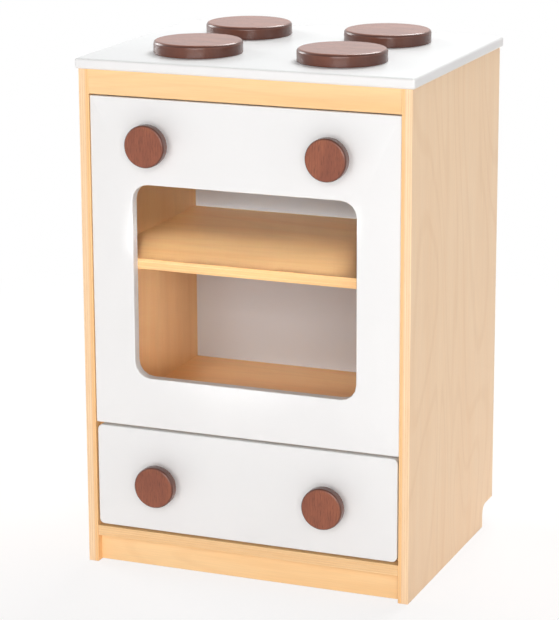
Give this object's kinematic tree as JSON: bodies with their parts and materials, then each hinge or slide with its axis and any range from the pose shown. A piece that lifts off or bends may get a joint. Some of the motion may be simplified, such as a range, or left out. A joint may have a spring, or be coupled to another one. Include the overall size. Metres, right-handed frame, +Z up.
{
  "type": "toy oven",
  "caption": "Toy oven for small children: a plywood cabinet with an open oven window and shelf, turning control knobs, burner discs on a white cooktop, and a drawer below.",
  "frame": {"origin": "on the floor, under the middle of the overall box", "axes": "+Z up, -Y towards the viewer of the oven front, +X to the viewer's right"},
  "size_m": [0.412, 0.3526, 0.625],
  "materials": {
    "birch_plywood": "clear satin lacquer on birch plywood, faces and layered edges",
    "white_board": "satin white paint on board",
    "grey_board": "satin warm grey paint on thin board",
    "brown_wood": "red-brown stain and clear lacquer on turned hardwood",
    "zinc_steel": "bright zinc plate",
    "beech_dowel": "bare beech"
  },
  "bodies": {
    "cabinet": {"back_panel": "grey_board", "back_screws": "zinc_steel", "bottom_panel": "birch_plywood", "burner_back_left": "brown_wood", "burner_back_right": "brown_wood", "burner_front_left": "brown_wood", "burner_front_right": "brown_wood", "burner_screws": "zinc_steel", "drawer_stop": "beech_dowel", "drawer_stop_screw": "zinc_steel", "left_side": "birch_plywood", "lower_cleat_left": "birch_plywood", "lower_cleat_right": "birch_plywood", "oven_floor": "birch_plywood", "oven_front": "white_board", "oven_front_screws": "zinc_steel", "oven_shelf": "birch_plywood", "rail_dowels": "beech_dowel", "rear_rail": "birch_plywood", "right_side": "birch_plywood", "toe_board": "birch_plywood", "top_dowels": "beech_dowel", "top_panel": "white_board", "top_rail": "birch_plywood", "upper_cleat_left": "birch_plywood", "upper_cleat_right": "birch_plywood"},
    "drawer": {"drawer_back": "birch_plywood", "drawer_bottom": "birch_plywood", "drawer_dowels": "beech_dowel", "drawer_front": "white_board", "drawer_front_screws": "zinc_steel", "drawer_inner_front": "birch_plywood", "drawer_knob_left": "brown_wood", "drawer_knob_right": "brown_wood", "drawer_knob_screws": "zinc_steel", "drawer_side_left": "birch_plywood", "drawer_side_right": "birch_plywood"},
    "left_control": {"control_knob_left": "brown_wood", "knob_nut_left": "zinc_steel", "knob_spindle_left": "zinc_steel", "knob_washers_left": "zinc_steel"},
    "right_control": {"control_knob_right": "brown_wood", "knob_nut_right": "zinc_steel", "knob_spindle_right": "zinc_steel", "knob_washers_right": "zinc_steel"}
  },
  "joints": [
    {"name": "drawer_slide", "type": "slide", "parent": "cabinet", "child": "drawer", "axis": [0, -1, 0], "range_m": [0, 0.243]},
    {"name": "left_control_turn", "type": "hinge", "parent": "cabinet", "child": "left_control", "pos_m": [-0.11, -0.14915, 0.5165], "axis": [0, -1, 0], "continuous": true},
    {"name": "right_control_turn", "type": "hinge", "parent": "cabinet", "child": "right_control", "pos_m": [0.11, -0.14915, 0.5165], "axis": [0, -1, 0], "continuous": true}
  ]
}
